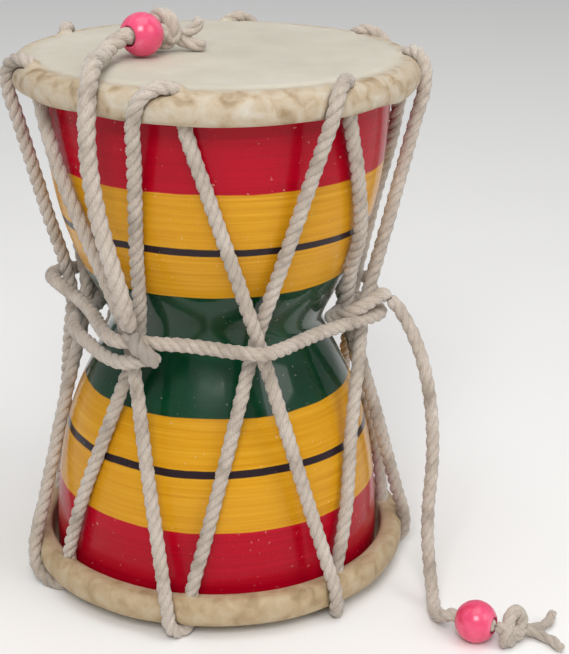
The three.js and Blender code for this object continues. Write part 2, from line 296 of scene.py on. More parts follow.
@dataclass(frozen=True)
class BandedLacquer:
    """Shellac lacquer put on the turning wood with coloured sticks: glossy, with fine rings round it."""

    middle: float = SIZES.waist_z
    green_to: float = 17.8
    line_at: float = 32.25
    line_width: float = 2.1
    yellow_to: float = 48.95
    edge_wander: float = 1.3
    edge_softness: float = 0.16
    green: str = "#003d22"
    yellow: str = "#d2951a"
    red: str = "#b10320"
    black: str = "#2a1f24"
    dust: str = "#e8dcc0"

    def build(self) -> bpy.types.Material:
        """Builds the material from the height above the waist, with wandering band edges.

        Returns:
            The lacquer.
        """
        material, tree, shader = new_material("stick_lacquer_on_turned_wood")
        place = add_node(tree, "TexCoord").outputs["Object"]
        beyond = self.band_edges(tree, place)
        # Rings left by the stick: streaks 0.7 mm high that run round the shell.
        squash = add_node(tree, "Mapping", None, {"Vector": place, "Scale": (18.0, 18.0, 1400.0)})
        streaks = {"Vector": squash.outputs[0], "Scale": 1.0, "Detail": 4.0, "Roughness": 0.6}
        rings = add_node(tree, "TexNoise", None, streaks).outputs["Fac"]
        # Clouds 17 mm wide, where the lacquer lies thicker or thinner.
        clouds = add_node(
            tree, "TexNoise", None, {"Vector": place, "Scale": 60.0, "Detail": 4.0}
        ).outputs["Fac"]
        yellow = add_node(tree, "ValToRGB", None, {0: rings})
        set_ramp(yellow, [(0.25, "#c48511"), (0.5, self.yellow), (0.78, "#dca62e")])
        green = add_node(tree, "ValToRGB", None, {0: clouds})
        set_ramp(green, [(0.3, "#002f1a"), (0.6, self.green), (0.85, "#034a2e")])
        red = add_node(tree, "ValToRGB", None, {0: rings})
        set_ramp(red, [(0.2, "#9c0019"), (0.55, self.red), (0.85, "#be0729")])
        half_line = self.line_width / 2
        line = maths(tree, "SUBTRACT", beyond(self.line_at - half_line), beyond(self.line_at + half_line))
        colour = blend_colour(tree, beyond(self.green_to), green.outputs[0], yellow.outputs[0])
        colour = blend_colour(tree, line, colour, linear(self.black))
        colour = blend_colour(tree, beyond(self.yellow_to), colour, red.outputs[0])
        # Dust specks and nicks, about a millimetre across and well apart.
        specks = add_node(
            tree, "TexNoise", None, {"Vector": place, "Scale": 900.0, "Detail": 1.0}
        ).outputs["Fac"]
        speck = add_node(tree, "MapRange", None, {"Value": specks, "From Min": 0.74, "From Max": 0.78})
        dusty = maths(tree, "MULTIPLY", speck.outputs["Result"], 0.3)
        colour = blend_colour(tree, dusty, colour, linear(self.dust))
        tree.links.new(colour, shader.inputs["Base Color"])
        # The green was polished last and is the shiniest. Yellow and red are duller.
        smear = add_node(tree, "MapRange", None, {"Value": clouds, "To Min": 0.16, "To Max": 0.36})
        tree.links.new(smear.outputs["Result"], shader.inputs["Roughness"])
        gloss = blend_value(tree, beyond(self.green_to), 0.6, 0.12)
        tree.links.new(gloss, shader.inputs["Coat Weight"])
        shader.inputs["Specular IOR Level"].default_value = 0.12
        shader.inputs["Coat Roughness"].default_value = 0.07
        # Waves 8 mm apart in the lacquer, with the stick's rings on them.
        waves = add_node(
            tree, "TexNoise", None, {"Vector": place, "Scale": 130.0, "Detail": 2.0}
        ).outputs["Fac"]
        relief = maths(tree, "ADD", maths(tree, "MULTIPLY", rings, 0.35), waves)
        bump = add_node(tree, "Bump", None, {"Height": relief, "Strength": 0.35, "Distance": 0.12 * MM})
        tree.links.new(bump.outputs["Normal"], shader.inputs["Normal"])
        coat = add_node(tree, "Bump", None, {"Height": waves, "Strength": 0.25, "Distance": 0.12 * MM})
        tree.links.new(coat.outputs["Normal"], shader.inputs["Coat Normal"])
        return material

    def band_edges(
        self, tree: bpy.types.NodeTree, place: bpy.types.NodeSocket
    ) -> Callable[[float], bpy.types.NodeSocket]:
        """Measures the distance from the waist, uneven as bands put on by hand are.

        Args:
            tree: The node tree.
            place: Object coordinates.

        Returns:
            A function that gives 1 past a distance from the waist, and 0 before it.
        """
        parts = add_node(tree, "SeparateXYZ", None, {0: place})
        wander = add_node(tree, "TexNoise", None, {"Vector": place, "Scale": 55.0, "Detail": 3.0})
        shift = maths(tree, "MULTIPLY", maths(tree, "SUBTRACT", wander.outputs["Fac"], 0.5), self.edge_wander)
        height = maths(tree, "SUBTRACT", parts.outputs["Z"], self.middle * MM)
        height = maths(tree, "MULTIPLY", height, 1 / MM)
        reach = maths(tree, "ADD", maths(tree, "ABSOLUTE", height), shift)
        soft = self.edge_softness

        def beyond(limit: float) -> bpy.types.NodeSocket:
            """Gives 1 past a distance from the waist and 0 before it."""
            node = add_node(
                tree,
                "MapRange",
                {"interpolation_type": "SMOOTHSTEP"},
                {"Value": reach, "From Min": limit - soft, "From Max": limit + soft},
            )
            return node.outputs["Result"]

        return beyond


@dataclass(frozen=True)
class Rawhide:
    """Scraped and limed goatskin, dried on the hoop: matt and blotchy, paler where it is stretched."""

    name: str
    pale: str = "#c9c2b2"
    body: str = "#bca98e"
    brown: str = "#98805f"
    lap_from: float = 49.5
    lap_to: float = 54.5

    def build(self) -> bpy.types.Material:
        """Builds the material with blotches, pores and fine creases.

        Returns:
            The rawhide.
        """
        material, tree, shader = new_material(self.name)
        place = add_node(tree, "TexCoord").outputs["Object"]
        lap = self.lap_share(tree, place)
        # The stretched skin has faint clouds 24 mm wide, and the lapped rim has tan blotches of 5 mm.
        cloud = add_node(
            tree, "TexNoise", None, {"Vector": place, "Scale": 42.0, "Detail": 6.0, "Roughness": 0.62}
        )
        patch = add_node(
            tree, "TexNoise", None, {"Vector": place, "Scale": 210.0, "Detail": 6.0, "Distortion": 0.5}
        )
        skin = add_node(tree, "ValToRGB", None, {0: cloud.outputs["Fac"]})
        set_ramp(skin, [(0.3, "#bfb8a8"), (0.55, self.pale), (0.8, "#d3cdbf")])
        rim = add_node(tree, "ValToRGB", None, {0: patch.outputs["Fac"]})
        set_ramp(rim, [(0.28, self.brown), (0.47, self.body), (0.75, self.pale)])
        colour = blend_colour(tree, lap, skin.outputs[0], rim.outputs[0])
        # Hair pores, drawn 0.7 mm apart so that they show.
        pores = add_node(
            tree, "TexNoise", None, {"Vector": place, "Scale": 1500.0, "Detail": 2.0}
        ).outputs["Fac"]
        spot = add_node(tree, "MapRange", None, {"Value": pores, "From Min": 0.68, "From Max": 0.76})
        pitted = maths(tree, "MULTIPLY", spot.outputs["Result"], 0.35)
        colour = blend_colour(tree, pitted, colour, linear(self.brown))
        tree.links.new(colour, shader.inputs["Base Color"])
        shine = add_node(
            tree, "MapRange", None, {"Value": patch.outputs["Fac"], "To Min": 0.5, "To Max": 0.8}
        )
        tree.links.new(shine.outputs["Result"], shader.inputs["Roughness"])
        # Light goes a little way into hide, which softens its edges.
        shader.inputs["Subsurface Weight"].default_value = 0.12
        shader.inputs["Subsurface Radius"].default_value = (0.9 * MM, 0.6 * MM, 0.35 * MM)
        shader.inputs["Subsurface Scale"].default_value = 1.0
        crease = add_node(
            tree,
            "TexVoronoi",
            {"feature": "DISTANCE_TO_EDGE"},
            {"Vector": patch.outputs["Color"], "Scale": 9.0},
        )
        folds = maths(tree, "MULTIPLY", crease.outputs["Distance"], 0.4)
        ripple = maths(tree, "MULTIPLY", maths(tree, "ADD", folds, patch.outputs["Fac"]), lap)
        relief = maths(tree, "ADD", ripple, maths(tree, "MULTIPLY", pores, 0.12))
        bump = add_node(tree, "Bump", None, {"Height": relief, "Strength": 0.6, "Distance": 0.5 * MM})
        tree.links.new(bump.outputs["Normal"], shader.inputs["Normal"])
        return material

    def lap_share(self, tree: bpy.types.NodeTree, place: bpy.types.NodeSocket) -> bpy.types.NodeSocket:
        """Gives 0 over the mouth, where the skin is thin and pale, and 1 where it laps the hoop.

        Args:
            tree: The node tree.
            place: Object coordinates.

        Returns:
            The share's socket.
        """
        parts = add_node(tree, "SeparateXYZ", None, {0: place})
        flat = add_node(tree, "CombineXYZ", None, {"X": parts.outputs["X"], "Y": parts.outputs["Y"]})
        reach = add_node(tree, "VectorMath", {"operation": "LENGTH"}, {0: flat.outputs[0]})
        lap = add_node(
            tree,
            "MapRange",
            {"interpolation_type": "SMOOTHSTEP"},
            {"Value": reach.outputs["Value"], "From Min": self.lap_from * MM, "From Max": self.lap_to * MM},
        )
        return lap.outputs["Result"]


@dataclass(frozen=True)
class TwistedCotton:
    """Undyed carded cotton, spun and laid in three strands: matt and downy, with seed flecks in it."""

    name: str
    light: str = "#d6cbbf"
    body: str = "#c6b9ab"
    grey: str = "#a5988a"
    shade: str = "#a2968a"
    seed: str = "#6b5743"
    yarn: float = 0.5  # spacing of the yarns on a strand
    girth: float = 6.4  # distance round a strand
    slant: float = 0.55  # yarns lie at about 30 degrees to the strand, against its lay

    def build(self) -> bpy.types.Material:
        """Builds the material on the strands' own map: u round a strand, v along it in millimetres.

        Returns:
            The cotton.
        """
        material, tree, shader = new_material(self.name)
        place = add_node(tree, "TexCoord").outputs["Object"]
        mapped = add_node(tree, "UVMap", {"uv_map": "strand"}).outputs["UV"]
        parts = add_node(tree, "SeparateXYZ", None, {0: mapped})
        across = maths(tree, "MULTIPLY", parts.outputs["X"], self.girth)
        slant = maths(tree, "ADD", across, maths(tree, "MULTIPLY", parts.outputs["Y"], self.slant))
        hair = add_node(
            tree,
            "CombineXYZ",
            None,
            {
                "X": maths(tree, "MULTIPLY", slant, 2.2),
                "Y": maths(tree, "MULTIPLY", parts.outputs["Y"], 0.5),
            },
        )
        # Single fibres, drawn 0.3 mm wide so that they show.
        fibres = {"Vector": hair.outputs[0], "Scale": 1.6, "Detail": 4.0, "Roughness": 0.65}
        fibre = add_node(tree, "TexNoise", None, fibres).outputs["Fac"]
        turn = maths(tree, "MULTIPLY", slant, 2 * math.pi / self.yarn)
        ridge = maths(tree, "SINE", maths(tree, "ADD", turn, maths(tree, "MULTIPLY", fibre, 2.4)))
        # Handling has greyed the rope in patches of about 10 mm.
        soil = add_node(
            tree, "TexNoise", None, {"Vector": place, "Scale": 95.0, "Detail": 5.0, "Roughness": 0.6}
        )
        tone = add_node(tree, "ValToRGB", None, {0: soil.outputs["Fac"]})
        set_ramp(tone, [(0.3, self.grey), (0.48, self.body), (0.72, self.light)])
        # Painted shade between the fibres: the colour darkens towards the shade colour where the fibres lie
        # low.
        fibre_shade_ramp = add_node(tree, "ValToRGB", None, {0: fibre})
        set_ramp(fibre_shade_ramp, [(0.3, self.shade), (0.62, "#ffffff")])
        colour = blend_colour(tree, 0.45, tone.outputs[0], fibre_shade_ramp.outputs[0], "MULTIPLY")
        # Bits of cotton seed, about a millimetre long.
        seeds = add_node(
            tree, "TexNoise", None, {"Vector": place, "Scale": 1100.0, "Detail": 1.0}
        ).outputs["Fac"]
        fleck = add_node(tree, "MapRange", None, {"Value": seeds, "From Min": 0.75, "From Max": 0.79})
        flecked = maths(tree, "MULTIPLY", fleck.outputs["Result"], 0.6)
        colour = blend_colour(tree, flecked, colour, linear(self.seed))
        tree.links.new(colour, shader.inputs["Base Color"])
        # Down on the fibres scatters light at the rope's edges and leaves no shine.
        shader.inputs["Roughness"].default_value = 0.92
        shader.inputs["Sheen Weight"].default_value = 0.35
        shader.inputs["Sheen Roughness"].default_value = 0.6
        shader.inputs["Specular IOR Level"].default_value = 0.2
        height = maths(tree, "ADD", maths(tree, "MULTIPLY", ridge, 0.35), maths(tree, "MULTIPLY", fibre, 1.2))
        bump = add_node(tree, "Bump", None, {"Height": height, "Strength": 0.7, "Distance": 0.12 * MM})
        tree.links.new(bump.outputs["Normal"], shader.inputs["Normal"])
        return material


@dataclass(frozen=True)
class MouldedStyrene:
    """Injection-moulded pink polystyrene: deep even colour, wet shine, faint flow marks."""

    colour: str = "#ea4f78"
    ior: float = 1.59

    def build(self) -> bpy.types.Material:
        """Builds the material with faint flow marks, 6 mm wide, in colour and gloss.

        Returns:
            The plastic.
        """
        material, tree, shader = new_material("moulded_pink_polystyrene")
        place = add_node(tree, "TexCoord").outputs["Object"]
        flow = add_node(
            tree, "TexNoise", None, {"Vector": place, "Scale": 160.0, "Detail": 3.0, "Distortion": 0.8}
        ).outputs["Fac"]
        tone = add_node(tree, "ValToRGB", None, {0: flow})
        set_ramp(tone, [(0.3, "#dd3b62"), (0.55, self.colour), (0.8, "#f07a98")])
        tree.links.new(tone.outputs[0], shader.inputs["Base Color"])
        shine = add_node(tree, "MapRange", None, {"Value": flow, "To Min": 0.16, "To Max": 0.3})
        tree.links.new(shine.outputs["Result"], shader.inputs["Roughness"])
        shader.inputs["IOR"].default_value = self.ior
        # Red light goes deepest into the pink plastic.
        shader.inputs["Subsurface Weight"].default_value = 0.15
        shader.inputs["Subsurface Radius"].default_value = (1.5 * MM, 0.5 * MM, 0.5 * MM)
        shader.inputs["Subsurface Scale"].default_value = 1.0
        bump = add_node(tree, "Bump", None, {"Height": flow, "Strength": 0.15, "Distance": 0.1 * MM})
        tree.links.new(bump.outputs["Normal"], shader.inputs["Normal"])
        return material


# ---------------------------------------------------------------- geometry helpers


def polar(angle: float, radius: float, z: float) -> Point:
    """Turns a place round the drum's axis into a point.

    Args:
        angle: Degrees from +X.
        radius: Distance from the axis.
        z: Height.

    Returns:
        The point in millimetres.
    """
    return radius * math.cos(math.radians(angle)), radius * math.sin(math.radians(angle)), z


def smooth_line(points: Sequence[Point], closed: bool, step: float) -> np.ndarray:
    """Draws a centripetal Catmull-Rom curve through points and spaces it evenly.

    Args:
        points: The points that it passes.
        closed: Whether its end joins its start.
        step: Wanted distance between samples, in millimetres.

    Returns:
        The samples, one row each. A closed line's last sample repeats its first.
    """
    p = np.array(points, float)
    if closed:
        p = np.vstack([p[-1], p, p[0], p[1]])
    else:
        p = np.vstack([2 * p[0] - p[1], p, 2 * p[-1] - p[-2]])
    fine = []
    for p0, p1, p2, p3 in zip(p, p[1:], p[2:], p[3:]):
        t0 = 0.0
        t1 = t0 + max(np.linalg.norm(p1 - p0), 1e-6) ** 0.5
        t2 = t1 + max(np.linalg.norm(p2 - p1), 1e-6) ** 0.5
        t3 = t2 + max(np.linalg.norm(p3 - p2), 1e-6) ** 0.5
        t = np.linspace(t1, t2, SAMPLES_PER_SPAN, endpoint=False)[:, None]
        a1 = (t1 - t) / (t1 - t0) * p0 + (t - t0) / (t1 - t0) * p1
        a2 = (t2 - t) / (t2 - t1) * p1 + (t - t1) / (t2 - t1) * p2
        a3 = (t3 - t) / (t3 - t2) * p2 + (t - t2) / (t3 - t2) * p3
        b1 = (t2 - t) / (t2 - t0) * a1 + (t - t0) / (t2 - t0) * a2
        b2 = (t3 - t) / (t3 - t1) * a2 + (t - t1) / (t3 - t1) * a3
        fine.append((t2 - t) / (t2 - t1) * b1 + (t - t1) / (t2 - t1) * b2)
    line = np.vstack([*fine, p[-2]])
    along = np.concatenate([[0], np.cumsum(np.linalg.norm(np.diff(line, axis=0), axis=1))])
    at = np.linspace(0, along[-1], max(2, math.ceil(along[-1] / step) + 1))
    return np.stack([np.interp(at, along, line[:, k]) for k in range(3)], axis=1)


def carried_frames(
    line: np.ndarray, closed: bool
) -> tuple[np.ndarray, np.ndarray, np.ndarray, np.ndarray]:
    """Carries a frame along a line without twist.

    Args:
        line: The samples.
        closed: Whether the line is closed; its frame then closes too.

    Returns:
        Tangents, first and second normals, and the distance along at each sample.
    """
    ahead = np.gradient(line, axis=0)
    if closed:
        ahead[0] = ahead[-1] = line[1] - line[-2]
    tangent = ahead / np.linalg.norm(ahead, axis=1)[:, None]
    normal = np.zeros_like(line)
    side = np.cross(tangent[0], (0.0, 0.0, 1.0))
    if np.linalg.norm(side) < 0.1:
        side = np.cross(tangent[0], (0.0, 1.0, 0.0))
    normal[0] = side / np.linalg.norm(side)
    for i in range(1, len(line)):
        kept = normal[i - 1] - tangent[i] * (normal[i - 1] @ tangent[i])
        normal[i] = kept / np.linalg.norm(kept)
    along = np.concatenate([[0], np.cumsum(np.linalg.norm(np.diff(line, axis=0), axis=1))])
    if closed:
        across = np.cross(tangent[0], normal[0])
        off = math.atan2(normal[-1] @ across, normal[-1] @ normal[0])
        turn = -off * along / along[-1]
        second = np.cross(tangent, normal)
        normal = normal * np.cos(turn)[:, None] + second * np.sin(turn)[:, None]
    return tangent, normal, np.cross(tangent, normal), along


def roll_sheet(mesh: bmesh.types.BMesh, places: np.ndarray) -> None:
    """Adds a flat grid and rolls it onto rows of places, which closes it to a tube once welded.

    Args:
        mesh: The mesh that it is added to.
        places: Rings by sides by 3, in metres; each ring's last place repeats its first.
    """
    mesh.loops.layers.uv.verify()
    rings, sides = places.shape[0] - 1, places.shape[1] - 1
    made = bmesh.ops.create_grid(mesh, x_segments=sides, y_segments=rings, size=1.0, calc_uvs=True)
    for vert in made["verts"]:
        j = round((vert.co.x + 1) / 2 * sides)
        i = round((vert.co.y + 1) / 2 * rings)
        vert.co = places[i, j]


def finish_piece(
    name: str,
    mesh: bmesh.types.BMesh,
    material: bpy.types.Material,
    weld: float = 1e-7,
) -> bpy.types.Object:
    """Turns a mesh in the making into a smooth piece that rides on the drum.

    Args:
        name: The piece's name.
        mesh: The mesh, which is freed.
        material: Its finish.
        weld: Distance under which vertices are merged, in metres.

    Returns:
        The new object.
    """
    bmesh.ops.remove_doubles(mesh, verts=mesh.verts, dist=weld)
    bmesh.ops.dissolve_degenerate(mesh, edges=mesh.edges, dist=1e-8)
    bmesh.ops.recalc_face_normals(mesh, faces=mesh.faces)
    data = bpy.data.meshes.new(name)
    mesh.to_mesh(data)
    mesh.free()
    data.polygons.foreach_set("use_smooth", [True] * len(data.polygons))
    data.materials.append(material)
    piece = bpy.data.objects.new(name, data)
    bpy.context.scene.collection.objects.link(piece)
    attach(piece, "root")
    LOG.info("%s: %d faces", name, len(data.polygons))
    return piece


def spun(profile: Sequence[tuple[float, float]], steps: int) -> bmesh.types.BMesh:
    """Spins a closed or axis-to-axis profile round Z.

    Args:
        profile: Radius and height of each point, in millimetres.
        steps: Number of faces round.

    Returns:
        The mesh, in metres.
    """
    mesh = bmesh.new()
    verts = [mesh.verts.new((radius * MM, 0.0, z * MM)) for radius, z in profile]
    for first, second in zip(verts, verts[1:]):
        mesh.edges.new((first, second))
    if math.dist(profile[0], profile[-1]) > 1e-6 and min(profile[0][0], profile[-1][0]) > 1e-6:
        mesh.edges.new((verts[-1], verts[0]))
    bmesh.ops.spin(
        mesh,
        geom=[*mesh.verts, *mesh.edges],
        cent=(0, 0, 0),
        axis=(0, 0, 1),
        dvec=(0, 0, 0),
        angle=2 * math.pi,
        steps=steps,
        use_merge=True,
        use_duplicate=False,
    )
    return mesh


# ---------------------------------------------------------------- laid rope


class Lay(Enum):
    """The way that a rope's strands turn."""

    RIGHT = 1
    LEFT = -1


@dataclass(frozen=True)
class LaidRope:
    """A three-strand rope: its size and lay."""

    diameter: float
    pitch: float
    lay: Lay = Lay.RIGHT
    strands: int = 3
    sides: int = 8
    step: float = 0.75
    unevenness: float = 0.03
    seed: int = 1

    @property
    def strand_offset(self) -> float:
        """Distance of a strand's middle from the rope's."""
        return 0.42 * self.diameter / 2

    @property
    def strand_radius(self) -> float:
        """Radius of one strand."""
        return 0.6 * self.diameter / 2

    def add_to(
        self,
        mesh: bmesh.types.BMesh,
        line: np.ndarray,
        closed: bool = False,
        phase: float = 0.0,
        ends: tuple[bool, bool] = (True, True),
    ) -> None:
        """Lays the strands along a line.

        Args:
            mesh: The mesh that they are added to.
            line: Evenly spaced samples, in millimetres.
            closed: Whether the line is closed.
            phase: Turn of the first strand at the start, in radians.
            ends: Whether the start and the end are rounded off.
        """
        tangent, normal, second, along = carried_frames(line, closed)
        turns = along[-1] / self.pitch
        if closed:
            turns = round(turns)
        twist = 2 * math.pi * turns * along / along[-1] * self.lay.value + phase
        rate = 2 * math.pi * turns / along[-1] * self.lay.value
        rng = np.random.default_rng(self.seed)
        for strand in range(self.strands):
            angle = twist + 2 * math.pi * strand / self.strands
            out = normal * np.cos(angle)[:, None] + second * np.sin(angle)[:, None]
            round_way = -normal * np.sin(angle)[:, None] + second * np.cos(angle)[:, None]
            knots = rng.normal(0, self.unevenness, max(4, int(along[-1] / 4)))
            swell = np.interp(along, np.linspace(0, along[-1], len(knots)), knots)
            if closed:
                swell *= np.minimum(1, np.minimum(along, along[-1] - along) / 6)
            radius = self.strand_radius * (1 + swell)
            middle = line + out * self.strand_offset
            heading = tangent + round_way * (rate * self.strand_offset)
            heading /= np.linalg.norm(heading, axis=1)[:, None]
            side = np.cross(heading, out)
            reach = radius.copy()
            if not closed:
                for at, on in ((0, ends[0]), (-1, ends[1])):
                    order = range(3) if at == 0 else range(-1, -4, -1)
                    for index, share in zip(order, (0.0, 0.72, 0.94) if on else (0.0, 1.0, 1.0)):
                        reach[index] *= share
            turn = np.linspace(0, 2 * math.pi, self.sides + 1) + math.pi
            ring = np.cos(turn)[None, :, None] * out[:, None] + np.sin(turn)[None, :, None] * side[:, None]
            places = middle[:, None] + ring * reach[:, None, None]
            places[:, -1] = places[:, 0]
            if closed:
                places[-1] = places[0]
            roll_sheet(mesh, places * MM)


def scale_strand_map(piece: bpy.types.Object, length: float) -> None:
    """Stretches the strands' map so that v runs in millimetres.

    Args:
        piece: The rope.
        length: Length of its line, in millimetres.
    """
    layer = piece.data.uv_layers[0]
    layer.name = "strand"
    values = np.zeros(len(layer.data) * 2, np.float32)
    layer.data.foreach_get("uv", values)
    values[1::2] *= length
    layer.data.foreach_set("uv", values)


def line_length(line: np.ndarray) -> float:
    """Gives the length of a line of samples."""
    return float(np.linalg.norm(np.diff(line, axis=0), axis=1).sum())


# ---------------------------------------------------------------- lacing routes


def rim_turn(hole: float, outer: float, face: float, up: int) -> list[Point]:
    """Gives the rope's places over a rim, from its hole to the outer leg.

    Args:
        hole: Angle of the hole.
        outer: Angle of the outer leg.
        face: Height of the playing face.
        up: 1 on the top head and -1 on the bottom one.

    Returns:
        The points.
    """
    rise = SIZES.top_turn_rise if up > 0 else SIZES.bottom_turn_rise
    places = [
        (0, SIZES.hole_radius, -9.6), (0.02, SIZES.hole_radius, -3.2), (0.2, 53.6, rise - 0.8),
        (0.5, 55.6, rise), (0.84, 58, rise - 2.6), (1, SIZES.outer_leg_radius, -8),
    ]
    return [polar(hole + (outer - hole) * share, radius, face + up * drop) for share, radius, drop in places]


def crossing_point(k: int, from_outer: bool) -> Point:
    """Gives the place of one leg at a crossing.

    Args:
        k: The crossing.
        from_outer: Whether the leg comes from the outer side of the upper rim.

    Returns:
        The point.
    """
    crossing = CROSSINGS[k % len(CROSSINGS)]
    side = 0.5 if from_outer == crossing.outer_leg_on_top else -0.5
    radius = SIZES.crossing_radius - crossing.inward + side * SIZES.crossing_spread
    return polar(crossing.angle, radius, crossing.z)


def leg_points(rim_end: Point, crossing: Point, shares: Sequence[float]) -> list[Point]:
    """Gives points on a leg, held off the shell where it would press on it.

    Args:
        rim_end: Its end at the rim.
        crossing: Its end at the waist.
        shares: Places along it.

    Returns:
        The points.
    """
    points = []
    for share in shares:
        x, y, z = (a + (b - a) * share for a, b in zip(rim_end, crossing))
        clear = SIZES.shell_radius(z) + SIZES.rope / 2 + 2 * SIZES.gap
        scale = max(1.0, clear / math.hypot(x, y))
        points.append((x * scale, y * scale, z))
    return points


def rim_turns(holes: Sequence[float], outers: Sequence[float], face: float, up: int) -> list[list[Point]]:
    """Gives each turn of the rope over a rim, with the legs on both sides of it.

    Args:
        holes: Angles of the holes.
        outers: Angles of the outer legs.
        face: Height of the playing face.
        up: 1 on the top head and -1 on the bottom one.

    Returns:
        The points of each turn.
    """
    turns = []
    for k, (hole, outer) in enumerate(zip(holes, outers)):
        turn = rim_turn(hole, outer, face, up)
        inner_leg = leg_points(turn[0], crossing_point(k + 1, up < 0), (0.8, 0.55, 0.25))
        outer_leg = leg_points(turn[-1], crossing_point(k, up > 0), (0.15, 0.55))
        turns.append([*inner_leg, *turn, *outer_leg])
    return turns


TOP_TURNS = rim_turns(TOP_HOLES, TOP_OUTER, SIZES.top_face, 1)
BOTTOM_TURNS = rim_turns(BOTTOM_HOLES, BOTTOM_OUTER, SIZES.bottom_face, -1)


def lacing_line() -> np.ndarray:
    """Gives the closed line of the whole lacing."""
    count = len(TOP_TURNS)
    route: list[Point] = []
    for step in range(count):
        top = (2 * step) % count
        bottom = (top + 1) % count
        route += [crossing_point(top, True), *reversed(TOP_TURNS[top])]
        route += [crossing_point(bottom, False), *reversed(BOTTOM_TURNS[bottom])]
    return smooth_line(route, True, LACING_STEP)


def over_crossing(k: int, turn: float, outward: float, z: float) -> Point:
    """Gives a place on the waist cord where it passes over a crossing.

    Args:
        k: The crossing.
        turn: Degrees on from it.
        outward: Extra radius.
        z: Height.

    Returns:
        The point.
    """
    crossing = CROSSINGS[k]
    spread = 0.25 * abs(z - crossing.z)
    radius = SIZES.crossing_radius - crossing.inward + (SIZES.crossing_spread + SIZES.rope + SIZES.cord) / 2
    return polar(crossing.angle + turn, radius + SIZES.gap + spread + outward, z)


# ---------------------------------------------------------------- sub-assemblies


@dataclass
class Shell:
    """The turned wooden hourglass, hollow, with its lacquered bands."""

    sizes: DrumSizes = SIZES
    wall: float = 5.5
    chamfer: float = 0.8
    steps: int = 192
    outside_rows: int = 90
    inside_rows: int = 40
    finish: BandedLacquer = field(default_factory=BandedLacquer)

    def profile(self) -> list[tuple[float, float]]:
        """Gives the closed profile of outside and inside.

        Returns:
            Radius and height of each point.
        """
        s = self.sizes
        low, high = s.shell_bottom, s.shell_top
        heights = np.linspace(low + self.chamfer, high - self.chamfer, self.outside_rows)
        outside = [(s.shell_radius(z), float(z)) for z in heights]
        depths = np.linspace(high, low, self.inside_rows)
        inside = [(s.shell_radius(z) - self.wall, float(z)) for z in depths]
        mouth = s.shell_radius(s.shell_top)
        return [
            (mouth - self.chamfer, s.shell_bottom),
            *outside,
            (mouth - self.chamfer, s.shell_top),
            *inside,
        ]

    def build(self) -> None:
        """Builds the shell in place of its CAD node."""
        mesh = spun(self.profile(), self.steps)
        piece = finish_piece("banded_shell", mesh, self.finish.build())
        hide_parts("drum_shell")


